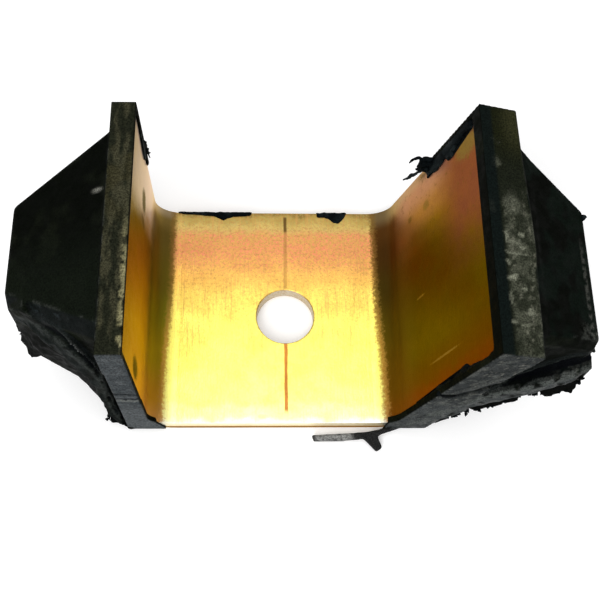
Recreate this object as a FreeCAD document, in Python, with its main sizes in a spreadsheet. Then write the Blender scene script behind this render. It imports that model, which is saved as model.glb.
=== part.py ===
import FreeCAD, Part
import Sketcher
import math
import os

# Saddle-type engine mount.
#
# A strip of sheet steel is folded into a trough: a flat web with one bolt hole, and two arms
# that stand up from it.  The left arm stands square, the right arm leans outward.  A block of
# rubber is moulded round each arm: a thin skin wraps the arm's edges, a wedge-ended block
# stands on its outer face, and a torn apron of mould flash hangs along the block's front.
#
# Frame: millimetres, +Z up, origin on the bolt hole's axis in the plane of the web's
# underside, which is the seat.  +X runs from the left arm to the right arm, -Y is the front.

doc = FreeCAD.newDocument("EngineMount")

# ---------------------------------------------------------------------------------------
# Driving dimensions
# ---------------------------------------------------------------------------------------
# "left" and "right" sizes of one rubber block are measured in its arm's own frame:
# "out" is the distance outward from the arm's inner face, "up" the distance along the arm
# from the sharp inner corner of its bend.

SIZES = [
    ("Saddle: folded steel sheet", None),
    ("sheet_thickness", 4.5),
    ("bend_inner_radius", 8.0),
    ("web_to_left", 39.4),
    ("web_to_right", 31.4),
    ("web_to_front", 33.0),
    ("web_to_back", 34.6),
    ("hole_diameter", 17.0),
    ("hole_edge_break", 0.4),
    ("left_lean", 0.5),
    ("right_lean", 16.7),
    ("left_arm", 58.4),
    ("right_arm", 61.8),
    ("arm_corner_radius", 2.5),
    ("Rubber skin round the arms' edges", None),
    ("skin", 0.6),
    ("lip", 0.7),
    ("cap", 1.5),
    ("fold_margin", 0.4),
    ("foot_clearance", 0.8),
    ("Left block", None),
    ("left_post", 5.8),
    ("left_block_out", 32.1),
    ("left_top_drop", 15.6),
    ("left_under_out", 9.0),
    ("left_under_in", 0.5),
    ("left_foot_out", 9.0),
    ("left_foot_reach", 5.4),
    ("left_back_skin_end", 30.0),
    ("left_base_front", 28.2),
    ("left_base_back", 25.8),
    ("left_tip_front", 14.4),
    ("left_tip_back", 15.4),
    ("left_draft", 1.4),
    ("left_shoulder", 1.0),
    ("left_bevel_width", 3.0),
    ("left_bevel_height", 5.0),
    ("left_rim_radius", 2.0),
    ("left_lip_height", 1.4),
    ("left_window_front", 1.2),
    ("left_window_back", 1.0),
    ("left_root_out", 26.5),
    ("left_root_up", 47.5),
    ("left_hem_out", 31.0),
    ("left_hem_up", 42.0),
    ("left_hem_fold_out", 17.0),
    ("left_hem_fold_up", 23.0),
    ("left_hem_foot_out", 9.5),
    ("left_hem_foot_up", 4.0),
    ("left_apron_depth", 8.0),
    ("left_apron_bite", 4.0),
    ("left_apron_base_proud", 2.4),
    ("left_apron_tip_proud", 2.6),
    ("Right block", None),
    ("right_post", 10.0),
    ("right_block_out", 32.4),
    ("right_top_drop", 7.4),
    ("right_under_out", 21.0),
    ("right_under_in", 3.0),
    ("right_foot_out", 11.0),
    ("right_foot_reach", 1.2),
    ("right_back_skin_end", 24.0),
    ("right_base_front", 28.6),
    ("right_base_back", 23.4),
    ("right_tip_front", 26.0),
    ("right_tip_back", 13.6),
    ("right_draft", 1.0),
    ("right_shoulder", 1.0),
    ("right_bevel_width", 2.0),
    ("right_bevel_height", 3.0),
    ("right_rim_radius", 2.0),
    ("right_lip_height", 6.3),
    ("right_window_front", 1.6),
    ("right_window_back", 4.4),
    ("right_root_out", 32.0),
    ("right_root_up", 51.0),
    ("right_hem_out", 35.4),
    ("right_hem_up", 33.5),
    ("right_hem_fold_out", 24.5),
    ("right_hem_fold_up", 32.0),
    ("right_hem_foot_out", 12.0),
    ("right_hem_foot_up", 2.0),
    ("right_apron_depth", 12.0),
    ("right_apron_bite", 6.0),
    ("right_apron_base_proud", 4.0),
    ("right_apron_tip_proud", 6.2),
    ("Torn strip of flash in front of the web", None),
    ("strip_thickness", 1.3),
    ("strip_height", 0.8),
    ("strip_root_x", 31.0),
    ("strip_tip_x", 7.4),
    ("strip_width", 2.6),
    ("strip_gap", 1.9),
    ("strip_curl", 4.6),
]

sheet = doc.addObject("Spreadsheet::Sheet", "Dimensions")
SIZE = {}
for row, (name, value) in enumerate(SIZES, start=1):
    sheet.set("A%d" % row, name)
    if value is not None:
        sheet.set("B%d" % row, repr(value))
        sheet.setAlias("B%d" % row, name)
        SIZE[name] = value
doc.recompute()


def measure(expression):
    """The present value of an expression over the sheet's cells."""
    value = sheet.evalExpression(expression)
    return float(getattr(value, "Value", value))


def size(name):
    return measure("Dimensions." + name)


# ---------------------------------------------------------------------------------------
# Sketch helpers
# ---------------------------------------------------------------------------------------

def new_body(name):
    body = doc.addObject("PartDesign::Body", name)
    body.Label = name
    return body


def new_sketch(body, name, role, offset=None):
    """A sketch on one of the body's own origin planes, or parallel to it at `offset`."""
    plane = [f for f in body.Origin.OriginFeatures if f.Role == role][0]
    sketch = body.newObject("Sketcher::SketchObject", name)
    sketch.AttachmentSupport = [(plane, "")]
    sketch.MapMode = "FlatFace"
    if offset:
        sketch.setExpression("AttachmentOffset.Base.z", offset)
    return sketch


def outline(sketch, corners):
    """Close a polygon through `corners`, each a pair of expressions that fix its place."""
    places = [FreeCAD.Vector(measure(x), measure(y), 0) for x, y in corners]
    first = sketch.GeometryCount
    count = len(corners)
    for i in range(count):
        sketch.addGeometry(Part.LineSegment(places[i], places[(i + 1) % count]))
    for i in range(count):
        here, after = first + i, first + (i + 1) % count
        sketch.addConstraint(Sketcher.Constraint("Coincident", here, 2, after, 1))
    for i, (x, y) in enumerate(corners):
        for kind, text, value in (("DistanceX", x, places[i].x), ("DistanceY", y, places[i].y)):
            rule = Sketcher.Constraint(kind, -1, 1, first + i, 1, value)
            index = sketch.addConstraint(rule)
            sketch.setExpression("Constraints[%d]" % index, text)


def along_y(feature, x, z, tolerance=0.05):
    """Names of the straight edges that run parallel to Y through (x, z)."""
    found = []
    for i, edge in enumerate(feature.Shape.Edges, start=1):
        ends = [v.Point for v in edge.Vertexes]
        if len(ends) == 2 and all(abs(p.x - x) < tolerance and abs(p.z - z) < tolerance for p in ends):
            found.append("Edge%d" % i)
    return found


def rounding(body, name, feature, edges, radius):
    fillet = body.newObject("PartDesign::Fillet", name)
    fillet.Base = (feature, edges)
    fillet.setExpression("Radius", radius)
    doc.recompute()
    return fillet


def in_sheet(text):
    """Write sheet aliases short: every word that names a cell gets its sheet's name."""
    words = []
    word = ""
    for character in text + " ":
        if character.isalnum() or character == "_":
            word += character
        else:
            words.append("Dimensions." + word if word in SIZE else word)
            words.append(character)
            word = ""
    return "".join(words).strip()


def pairs(*corners):
    return [(in_sheet(x), in_sheet(y)) for x, y in corners]


# ---------------------------------------------------------------------------------------
# The folded steel saddle
# ---------------------------------------------------------------------------------------

def arm_corners(side, sign):
    """Inner tip, outer tip and outer corner of one arm in the saddle's section."""
    lean = "(%s_lean * 1 deg)" % side
    corner = "(%d * web_to_%s)" % (sign, side)
    inner_x = "%s + %d * %s_arm * sin(%s)" % (corner, sign, side, lean)
    inner_z = "sheet_thickness + %s_arm * cos(%s)" % (side, lean)
    outer_x = "%s + %d * sheet_thickness * cos(%s)" % (inner_x, sign, lean)
    outer_z = "%s - sheet_thickness * sin(%s)" % (inner_z, lean)
    heel_x = "%s + %d * sheet_thickness * tan((90 deg - %s) / 2)" % (corner, sign, lean)
    return (inner_x, inner_z), (outer_x, outer_z), (heel_x, "0")


def build_saddle():
    body = new_body("saddle_bracket")
    left_inner, left_outer, left_heel = arm_corners("left", -1)
    right_inner, right_outer, right_heel = arm_corners("right", 1)
    section = new_sketch(body, "SaddleSection", "XZ_Plane")
    outline(section, pairs(
        ("-web_to_left", "sheet_thickness"), ("web_to_right", "sheet_thickness"),
        right_inner, right_outer, right_heel,
        left_heel, left_outer, left_inner))
    pad = body.newObject("PartDesign::Pad", "FoldedSheet")
    pad.Profile = section
    pad.SideType = "Two sides"
    pad.setExpression("Length", in_sheet("web_to_front"))
    pad.setExpression("Length2", in_sheet("web_to_back"))
    doc.recompute()

    # The two folds: one inner radius, and the same radius plus the sheet outside.
    inner = along_y(pad, -size("web_to_left"), size("sheet_thickness"))
    inner += along_y(pad, size("web_to_right"), size("sheet_thickness"))
    folds = rounding(body, "InsideOfFolds", pad, inner, in_sheet("bend_inner_radius"))
    outer = along_y(folds, measure(in_sheet(left_heel[0])), 0)
    outer += along_y(folds, measure(in_sheet(right_heel[0])), 0)
    backs = rounding(body, "OutsideOfFolds", folds, outer,
                     in_sheet("bend_inner_radius + sheet_thickness"))

    # Free corners of the arms are cropped round by the blanking tool.
    tips = []
    ends = (-size("web_to_front"), size("web_to_back"))
    reach = size("sheet_thickness") * 1.01
    for i, edge in enumerate(backs.Shape.Edges, start=1):
        middle = edge.CenterOfMass
        short = edge.Length < reach and len(edge.Vertexes) == 2
        if short and middle.z > size("left_arm") * 0.8 and min(abs(middle.y - y) for y in ends) < 0.01:
            tips.append("Edge%d" % i)
    corners = rounding(body, "ArmCorners", backs, tips, in_sheet("arm_corner_radius"))

    bolt = new_sketch(body, "BoltHoleSketch", "XY_Plane")
    radius = size("hole_diameter") / 2
    bolt.addGeometry(Part.Circle(FreeCAD.Vector(0, 0, 0), FreeCAD.Vector(0, 0, 1), radius))
    bolt.addConstraint(Sketcher.Constraint("Coincident", 0, 3, -1, 1))
    index = bolt.addConstraint(Sketcher.Constraint("Diameter", 0, 2 * radius))
    bolt.setExpression("Constraints[%d]" % index, in_sheet("hole_diameter"))
    hole = body.newObject("PartDesign::Pocket", "BoltHole")
    hole.Profile = bolt
    hole.SideType = "Two sides"
    hole.Type = "ThroughAll"
    hole.Type2 = "ThroughAll"
    doc.recompute()

    # The punch leaves a small break round the mouth of the hole.
    mouth = []
    for i, edge in enumerate(hole.Shape.Edges, start=1):
        round_edge = isinstance(edge.Curve, Part.Circle) and len(edge.Vertexes) == 1
        if round_edge and abs(edge.Curve.Radius - size("hole_diameter") / 2) < 0.01:
            if edge.CenterOfMass.z > size("sheet_thickness") / 2:
                mouth.append("Edge%d" % i)
    rounding(body, "HoleMouth", hole, mouth, in_sheet("hole_edge_break"))
    return body


# ---------------------------------------------------------------------------------------
# The rubber blocks
# ---------------------------------------------------------------------------------------

def mirrored(sign, corners):
    """Side views are drawn for the right arm and turned over for the left one."""
    return [("%d * (%s)" % (sign, x), y) for x, y in corners]


def skin_outline(side):
    """Side view of the skin: over the arm's free edge, down its outer face, round the fold."""
    tip = "(%s_arm + cap)" % side
    lean = "(%s_lean * 1 deg)" % side
    foot_deep = "(sheet_thickness - foot_clearance)"
    return [
        ("-lip", tip),
        ("%s_post" % side, tip),
        ("%s_post" % side, "%s_under_in + 6" % side),
        ("%s_foot_out" % side, "%s_under_in" % side),
        ("%s_foot_out * cos(%s) + %s * sin(%s)" % (side, lean, foot_deep, lean),
         "%s_foot_out * sin(%s) - %s * cos(%s)" % (side, lean, foot_deep, lean)),
        ("-(bend_inner_radius + fold_margin) * cos(%s) + %s * sin(%s)" % (lean, foot_deep, lean),
         "-(bend_inner_radius + fold_margin) * sin(%s) - %s * cos(%s)" % (lean, foot_deep, lean)),
        ("-(bend_inner_radius + fold_margin) * cos(%s) - lip * sin(%s)" % (lean, lean),
         "-(bend_inner_radius + fold_margin) * sin(%s) + lip * cos(%s)" % (lean, lean)),
        ("-lip", "lip * (1 - sin(%s)) / cos(%s)" % (lean, lean)),
    ]


def end_outline(side, where, top, under):
    """Six-sided end of the block: two bevelled upper corners, wider and square below."""
    front, back = "-%s_%s_front" % (side, where), "%s_%s_back" % (side, where)
    bevel, fall = "%s_bevel_width" % side, "%s_bevel_height" % side
    return [
        ("%s - %s_draft" % (front, side), under), ("%s + %s_draft" % (back, side), under),
        (back, "%s - %s" % (top, fall)),
        ("%s - %s" % (back, bevel), top), ("%s + %s" % (front, bevel), top),
        (front, "%s - %s" % (top, fall))]


def apron_front(side):
    """Plan view of what is cut away in front of the apron, so that it follows the block's end."""
    post = "%s_post" % side
    far = "(%s_block_out + 12)" % side
    wide = "-(web_to_front + web_to_back)"
    base = "-(%s_base_front + %s_apron_base_proud)" % (side, side)
    tip = "-(%s_tip_front + %s_apron_tip_proud)" % (side, side)
    return [(post, wide), (post, base), ("%s_block_out" % side, tip), (far, tip), (far, wide)]


def apron_behind(side):
    """Plan view of what is cut away behind it, where it hangs out past the block's outer face."""
    near, far = "(%s_block_out + 0.2)" % side, "(%s_block_out + 12)" % side
    inside = "-(%s_tip_front - %s_apron_bite - 1)" % (side, side)
    face = "-(%s_tip_front + 0.5)" % side
    tip = "-(%s_tip_front + %s_apron_tip_proud)" % (side, side)
    return [(near, face), (near, inside), (far, inside), (far, tip)]


def pocket_through(body, name, sketch):
    pocket = body.newObject("PartDesign::Pocket", name)
    pocket.Profile = sketch
    pocket.SideType = "Two sides"
    pocket.Type = "ThroughAll"
    pocket.Type2 = "ThroughAll"
    doc.recompute()
    return pocket


def build_moulding(side, sign):
    """One rubber moulding, still solid where its arm will be taken out of it."""
    body = new_body("%s_moulding" % side)
    view = new_sketch(body, "%sSkinView" % side, "XZ_Plane")
    outline(view, pairs(*mirrored(sign, skin_outline(side))))
    solid = body.newObject("PartDesign::Pad", "%sSkin" % side)
    solid.Profile = view
    solid.SideType = "Two sides"
    solid.setExpression("Length", in_sheet("web_to_front + skin"))
    solid.setExpression("Length2", in_sheet("web_to_back + skin"))
    doc.recompute()

    # Inside the trough the skin follows the fold, one lip's thickness from the steel.
    lean = math.radians(size("%s_lean" % side))
    crease = size("lip") * (1 - math.sin(lean)) / math.cos(lean)
    inner = along_y(solid, -sign * size("lip"), crease)
    rounding(body, "%sSkinInFold" % side, solid, inner, in_sheet("bend_inner_radius - lip"))

    # The block stands on the skin's outer face and is drawn in on all sides toward its tip.
    tip = "(%s_arm + cap)" % side
    sections = []
    for where, out, top, under in (
            ("base", "%s_post - 1" % side, "%s - %s_shoulder" % (tip, side), "%s_under_in + 4" % side),
            ("tip", "%s_block_out" % side, "%s - %s_top_drop" % (tip, side), "%s_under_out" % side)):
        end = new_sketch(body, "%s_%s_end" % (side, where), "YZ_Plane",
                         in_sheet("%d * (%s)" % (sign, out)))
        outline(end, pairs(*end_outline(side, where, top, under)))
        sections.append(end)
    block = body.newObject("PartDesign::AdditiveLoft", "%sBlock" % side)
    block.Profile = sections[0]
    block.Sections = [sections[1]]
    block.Ruled = True
    doc.recompute()

    # The rim of the block's outer face is rounded.
    rim = []
    out = sign * size("%s_block_out" % side)
    for i, edge in enumerate(block.Shape.Edges, start=1):
        if all(abs(v.Point.x - out) < 0.01 for v in edge.Vertexes):
            rim.append("Edge%d" % i)
    rounding(body, "%sRim" % side, block, rim, in_sheet("%s_rim_radius" % side))

    # Apron of flash: it leaves the front end under the top bevel and hangs down to its hem.
    start = "(%s_tip_front - %s_apron_bite)" % (side, side)
    apron_view = new_sketch(body, "%sApronView" % side, "XZ_Plane", in_sheet(start))
    outline(apron_view, pairs(*mirrored(sign, [
        ("%s_root_out" % side, "%s_root_up" % side),
        ("%s_hem_out" % side, "%s_hem_up" % side),
        ("%s_hem_fold_out" % side, "%s_hem_fold_up" % side),
        ("%s_hem_foot_out" % side, "%s_hem_foot_up" % side),
        ("%s_post - 1" % side, "%s_hem_foot_up + 2" % side),
        ("%s_post - 1" % side, "%s_hem_fold_up + %s_apron_depth" % (side, side)),
    ])))
    apron = body.newObject("PartDesign::Pad", "%sApron" % side)
    apron.Profile = apron_view
    apron.setExpression("Length", in_sheet("web_to_front + skin - %s" % start))
    doc.recompute()
    for name, corners in (("Front", apron_front(side)), ("Behind", apron_behind(side))):
        hem = new_sketch(body, "%sApron%s" % (side, name), "XY_Plane")
        outline(hem, pairs(*mirrored(sign, corners)))
        trimmed = pocket_through(body, "%sApron%sTrim" % (side, name), hem)

    # Window: the skin leaves the arm's inner face bare between its edges.
    window = new_sketch(body, "%sWindowView" % side, "YZ_Plane")
    front = "-(web_to_front - %s_window_front)" % side
    back = "web_to_back - %s_window_back" % side
    sill = "-(bend_inner_radius + fold_margin + sheet_thickness)"
    outline(window, pairs(
        (front, "%s - %s_lip_height" % (tip, side)), (back, "%s - %s_lip_height" % (tip, side)),
        (back, sill), (front, sill)))
    opening = body.newObject("PartDesign::Pocket", "%sWindow" % side)
    opening.Profile = window
    opening.Type = "ThroughAll"
    before = trimmed.Shape.Volume
    opening.Reversed = sign < 0
    doc.recompute()
    if before - opening.Shape.Volume > 0.2 * before:
        raise ValueError("the window of the %s moulding is cut outward" % side)

    # The foot of the skin ends on the web's front edge, slanting.
    foot = new_sketch(body, "%sFootView" % side, "XZ_Plane")
    outline(foot, pairs(*mirrored(sign, [
        ("-(bend_inner_radius + fold_margin + 3)", "-(sheet_thickness + 6)"),
        ("-%s_foot_reach" % side, "-(sheet_thickness + 6)"),
        ("-(%s_foot_reach + 1.5)" % side, "lip + 0.4"),
        ("-(%s_foot_reach + 1.5)" % side, "lip + 4"),
        ("-(bend_inner_radius + fold_margin + 3)", "lip + 4")])))
    pocket_through(body, "%sFootTrim" % side, foot)

    # At the back the skin has torn away below this height, down to the bare cut edge.
    torn = new_sketch(body, "%sTornSkin" % side, "XZ_Plane",
                      in_sheet("-(web_to_back - %s_window_back)" % side))
    outline(torn, pairs(*mirrored(sign, [
        ("-(bend_inner_radius + fold_margin + 3)", "-(sheet_thickness + 6)"), ("0.01", "-(sheet_thickness + 6)"),
        ("0.01", "%s_back_skin_end" % side), ("-(lip + 3)", "%s_back_skin_end - 4" % side),
        ("-(bend_inner_radius + fold_margin + 3)", "%s_back_skin_end - 4" % side)])))
    tear = body.newObject("PartDesign::Pocket", "%sTear" % side)
    tear.Profile = torn
    tear.Type = "ThroughAll"
    doc.recompute()
    bare = new_sketch(body, "%sBareEdge" % side, "XZ_Plane", in_sheet("-web_to_back"))
    outline(bare, pairs(*mirrored(sign, [
        ("-(bend_inner_radius + fold_margin + 3)", "-(sheet_thickness + 6)"),
        ("%s_foot_out + 5" % side, "-(sheet_thickness + 6)"),
        ("%s_foot_out + 5" % side, "%s_back_skin_end - 6" % side),
        ("-(bend_inner_radius + fold_margin + 3)", "%s_back_skin_end" % side)])))
    edge_tear = body.newObject("PartDesign::Pocket", "%sEdgeTear" % side)
    edge_tear.Profile = bare
    edge_tear.Type = "ThroughAll"
    doc.recompute()

    base = FreeCAD.Vector(sign * size("web_to_%s" % side), 0, size("sheet_thickness"))
    turn = FreeCAD.Rotation(FreeCAD.Vector(0, 1, 0), sign * size("%s_lean" % side))
    body.Placement = FreeCAD.Placement(base, turn)
    return body


def build_strip():
    """Torn strip of flash that trails from the right foot along the web's front edge."""
    body = new_body("flash_strip")
    plan = new_sketch(body, "StripPlan", "XY_Plane", in_sheet("strip_height"))
    near = "-(web_to_front + strip_gap)"
    outline(plan, pairs(
        ("strip_root_x", "-(web_to_front + skin / 2)"),
        ("strip_root_x - 8", near),
        ("strip_tip_x + 7", "%s - 0.5" % near),
        ("strip_tip_x", "%s - 0.8" % near),
        ("strip_tip_x + 0.6", "%s - 0.6 - strip_width * 0.8" % near),
        ("strip_tip_x + 9", "%s - strip_width" % near),
        ("strip_root_x - 8.5", "%s - strip_width * 0.75" % near),
        ("strip_root_x - 5", "%s - strip_curl - 1.2" % near),
        ("strip_root_x - 3.2", "%s - strip_curl" % near),
        ("strip_root_x - 4.6", "%s - strip_width * 0.4" % near),
        ("strip_root_x + 1.6", "-(web_to_front + skin + 0.3)"),
    ))
    pad = body.newObject("PartDesign::Pad", "StripThickness")
    pad.Profile = plan
    pad.setExpression("Length", in_sheet("strip_thickness"))
    doc.recompute()
    return body


# ---------------------------------------------------------------------------------------
# Assembly
# ---------------------------------------------------------------------------------------

def cut_round_steel(name, blanks, steel):
    """Take the steel out of the rubber, so that the two meet face to face."""
    rubber = blanks[0]
    if len(blanks) > 1:
        rubber = doc.addObject("Part::MultiFuse", "%s_joined" % name)
        rubber.Shapes = blanks
    part = doc.addObject("Part::Cut", name)
    part.Base = rubber
    part.Tool = steel
    part.Label = name
    doc.recompute()
    return part


saddle = build_saddle()
left_moulding = build_moulding("left", -1)
right_moulding = build_moulding("right", 1)
strip = build_strip()
pieces = [
    saddle,
    cut_round_steel("left_rubber_block", [left_moulding], saddle),
    cut_round_steel("right_rubber_block", [right_moulding, strip], saddle),
]

doc.recompute()
for item in doc.Objects:
    if "Invalid" in item.State or "Error" in item.State:
        raise ValueError("%s did not build: %s" % (item.Label, item.State))
for piece in pieces:
    shape = piece.Shape
    if shape.isNull() or not shape.isValid() or len(shape.Solids) != 1:
        raise ValueError("%s is not one valid solid (%d)" % (piece.Label, len(shape.Solids)))

os.makedirs("parts", exist_ok=True)
for piece in pieces:
    piece.Shape.exportStep("parts/%s.step" % piece.Label)
    box = piece.Shape.BoundBox
    print("%-20s %8.0f mm3  x %6.1f..%6.1f  y %6.1f..%6.1f  z %5.1f..%5.1f" % (
        piece.Label, piece.Shape.Volume, box.XMin, box.XMax, box.YMin, box.YMax, box.ZMin, box.ZMax))
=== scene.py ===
# %% [markdown]
# # A saddle-type engine mount
# A saddle mount is a strip of sheet steel folded into a trough, with a rubber block moulded over each arm.
# The engine's bracket sits in the trough and one bolt goes through the hole in its floor. The steel here
# keeps the exact solid that was modelled for it and only gets a finish. The rubber is remade as a fine
# mesh, because a torn, hand-trimmed moulding is all small dents, lips and rags that a clean solid lacks.

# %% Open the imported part
import math
import bmesh
import bpy
import numpy as np
from mathutils import Matrix, Vector, noise
from mathutils.kdtree import KDTree


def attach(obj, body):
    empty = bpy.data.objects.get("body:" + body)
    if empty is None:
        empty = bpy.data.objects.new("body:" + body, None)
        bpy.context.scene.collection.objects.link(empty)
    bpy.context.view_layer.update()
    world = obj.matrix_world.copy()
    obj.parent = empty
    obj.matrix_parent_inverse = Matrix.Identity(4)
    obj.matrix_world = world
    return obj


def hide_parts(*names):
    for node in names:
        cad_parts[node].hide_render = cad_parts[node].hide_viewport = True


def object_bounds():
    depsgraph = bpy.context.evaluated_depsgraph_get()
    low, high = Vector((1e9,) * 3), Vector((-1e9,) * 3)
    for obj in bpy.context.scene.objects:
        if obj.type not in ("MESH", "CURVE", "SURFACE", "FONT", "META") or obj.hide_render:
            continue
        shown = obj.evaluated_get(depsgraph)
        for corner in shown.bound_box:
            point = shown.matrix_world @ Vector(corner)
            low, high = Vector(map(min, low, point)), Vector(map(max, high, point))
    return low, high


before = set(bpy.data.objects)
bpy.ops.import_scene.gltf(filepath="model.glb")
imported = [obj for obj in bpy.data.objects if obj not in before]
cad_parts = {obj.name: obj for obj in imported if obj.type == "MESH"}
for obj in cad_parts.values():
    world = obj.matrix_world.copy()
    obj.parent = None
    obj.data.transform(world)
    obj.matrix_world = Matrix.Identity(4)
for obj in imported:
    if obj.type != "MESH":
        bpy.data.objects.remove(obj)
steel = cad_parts["saddle_bracket"]
solid_low, solid_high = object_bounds()
MM = 0.001
print("solid box, mm:", [round(v / MM, 1) for v in (*solid_low, *solid_high)])

# %% [markdown]
# ## Where things are on an arm
# Both blocks grow from an arm of the saddle, and the arms lean by different angles. It is easier to think in
# the arm's own directions: "out" from the arm's inner face, "along" the trough, and "up" the arm from its
# fold. One small class turns such points into the part's frame and back, so every later shape can be said in
# plain sizes. It also knows its post, the arm in its skin of rubber: how thick it is and where its tip ends.


# %% Directions of the two arms
SHEET = 4.5


class Arm:
    """One arm of the saddle, in mm and degrees."""

    def __init__(self, name, corner_x, out_sign, lean, post, tip):
        a = math.radians(lean)
        self.name, self.post, self.tip = name, post, tip
        self.corner = np.array((corner_x, 0.0, SHEET))
        self.out = np.array((out_sign * math.cos(a), 0.0, -math.sin(a)))
        self.up = np.array((out_sign * math.sin(a), 0.0, math.cos(a)))

    def place(self, points):
        """(out, along, up) in mm to the part's frame, in mm."""
        p = np.asarray(points, float)
        return self.corner + p[..., :1] * self.out + p[..., 1:2] * (0, 1, 0) + p[..., 2:] * self.up

    def read(self, points):
        """The part's frame to (out, along, up), in mm."""
        q = np.asarray(points, float) - self.corner
        return np.stack([q @ self.out, q[..., 1], q @ self.up], -1)


LEFT_X = -39.4
left_arm = Arm("left", LEFT_X, -1, 0.5, post=5.8, tip=59.9)
right_arm = Arm("right", 31.4, 1, 16.7, post=10.0, tip=63.3)
print("posts are", left_arm.post, "and", right_arm.post, "mm thick")

# %% [markdown]
# ## Camera, floor and light
# The camera stands in front of the mount and looks steeply down into the trough. The floor is a plain pale
# sheet. Bright plate and black rubber together are hard to light: one wide soft panel above the trough gives
# the plate its glow, and a pale, even sky fills in the rest, so the rubber stays dark without going flat.

# %% Camera
camera_data = bpy.data.cameras.new("camera")
camera_data.sensor_width, camera_data.lens = 36.0, 59.374
camera_data.clip_start, camera_data.clip_end = 0.01, 10.0
camera = bpy.data.objects.new("camera", camera_data)
bpy.context.scene.collection.objects.link(camera)
camera.matrix_world = Matrix((
    (0.99919817, -0.00294697, -0.03992906, -0.007402),
    (-0.01268499, 0.92260947, -0.38552674, -0.109790),
    (0.03797507, 0.38572411, 0.92183231, 0.279653),
    (0, 0, 0, 1)))
bpy.context.scene.camera = camera
print("camera stands", [round(v, 3) for v in camera.location])

# %% [markdown]
# A finish is a chain of small steps: read a place, turn it into a number, mix two colours by that number. One
# class adds the nodes and wires them, so that each finish further down reads as the list of its steps.


# %% A short way to write node trees
class Tree:
    """Adds nodes to a tree and wires them."""

    def __init__(self, tree):
        self.tree = tree

    def add(self, kind, inputs=None, **settings):
        node = self.tree.nodes.new(kind)
        for key, value in settings.items():
            setattr(node, key, value)
        for key, value in (inputs or {}).items():
            self.feed(node.inputs[key], value)
        return node

    def feed(self, socket, value):
        if isinstance(value, bpy.types.NodeSocket):
            self.tree.links.new(value, socket)
        elif isinstance(value, bpy.types.Node):
            self.tree.links.new(value.outputs[0], socket)
        else:
            socket.default_value = value

    def math(self, operation, a, b=0.0, c=0.0):
        return self.add("ShaderNodeMath", {0: a, 1: b, 2: c}, operation=operation).outputs[0]

    def times(self, value, *others):
        for other in others:
            value = self.math("MULTIPLY", value, other)
        return value

    def vector(self, operation, a, b=(0.0, 0.0, 0.0)):
        """Every vector step but a length, which is read from its own output."""
        return self.add("ShaderNodeVectorMath", {0: a, 1: b}, operation=operation).outputs[0]

    def length(self, a):
        return self.add("ShaderNodeVectorMath", {0: a}, operation="LENGTH").outputs["Value"]

    def ramp(self, value, low, high, a=0.0, b=1.0, smooth=True):
        """Turns readings from low to high into a to b."""
        kind = "SMOOTHSTEP" if smooth else "LINEAR"
        inputs = {0: value, 1: low, 2: high, 3: a, 4: b}
        return self.add("ShaderNodeMapRange", inputs, interpolation_type=kind).outputs[0]

    def mix(self, factor, a, b, blend="MIX"):
        node = self.add("ShaderNodeMix", data_type="RGBA", blend_type=blend, clamp_factor=True)
        for socket, value in ((node.inputs[0], factor), (node.inputs[6], a), (node.inputs[7], b)):
            if isinstance(value, tuple) and len(value) == 3:
                value = (*value, 1.0)
            self.feed(socket, value)
        return node.outputs[2]

    def dimmed(self, colour, shade):
        """A colour multiplied by one grey reading."""
        grey = self.add("ShaderNodeCombineXYZ", {0: shade, 1: shade, 2: shade})
        return self.mix(1.0, colour, grey.outputs[0], "MULTIPLY")

    def colours(self, value, low, high, stops):
        """A ramp of colours; each stop is (reading, colour) on the same scale as low and high."""
        spread = self.ramp(value, low, high, smooth=False)
        node = self.add("ShaderNodeValToRGB", {0: spread})
        node.color_ramp.interpolation = "EASE"
        elements = node.color_ramp.elements
        while len(elements) < len(stops):
            elements.new(0.5)
        for element, (reading, _) in zip(elements, stops):
            element.position = (reading - low) / (high - low)
        for element, (_, colour) in zip(elements, stops):
            element.color = (*colour, 1.0)
        return node.outputs[0]

    def millimetres(self):
        """Where a point lies on the part, in mm."""
        place = self.add("ShaderNodeTexCoord").outputs["Object"]
        return self.vector("MULTIPLY", place, (1000.0, 1000.0, 1000.0))

    def grain(self, vector, scale, detail=2.0, rough=0.5):
        inputs = {"Vector": vector, "Scale": scale, "Detail": detail, "Roughness": rough}
        return self.add("ShaderNodeTexNoise", inputs).outputs[0]


def new_finish(name):
    material = bpy.data.materials.new(name)
    material.use_nodes = True
    tree = material.node_tree
    tree.nodes.clear()
    t = Tree(tree)
    shader = t.add("ShaderNodeBsdfPrincipled")
    t.add("ShaderNodeOutputMaterial", {0: shader})
    return material, t, shader


print("the node helper is ready")

# %% Floor
floor_finish, t, shader = new_finish("pale_floor")
shader.inputs["Base Color"].default_value = (0.93, 0.93, 0.93, 1)
shader.inputs["Roughness"].default_value = 0.9
shader.inputs["Specular IOR Level"].default_value = 0.1
shader.inputs["Emission Color"].default_value = (1, 1, 1, 1)
shader.inputs["Emission Strength"].default_value = 0.16
mesh = bpy.data.meshes.new("floor")
half, just_below = 3.0, 0.0002
mesh.from_pydata([(-half, -half, 0), (half, -half, 0), (half, half, 0), (-half, half, 0)], [], [(0, 1, 2, 3)])
mesh.materials.append(floor_finish)
floor = bpy.data.objects.new("floor", mesh)
bpy.context.scene.collection.objects.link(floor)
floor.location.z = solid_low.z - just_below
print("floor is", 2 * half, "m wide")


# %% Sky and panels
def panel(name, place, aim, width, depth, power):
    light = bpy.data.lights.new(name, "AREA")
    light.shape, light.size, light.size_y, light.energy = "RECTANGLE", width, depth, power
    thing = bpy.data.objects.new(name, light)
    thing.location = place
    thing.rotation_euler = (Vector(aim) - Vector(place)).to_track_quat("-Z", "Y").to_euler()
    bpy.context.scene.collection.objects.link(thing)


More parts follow.
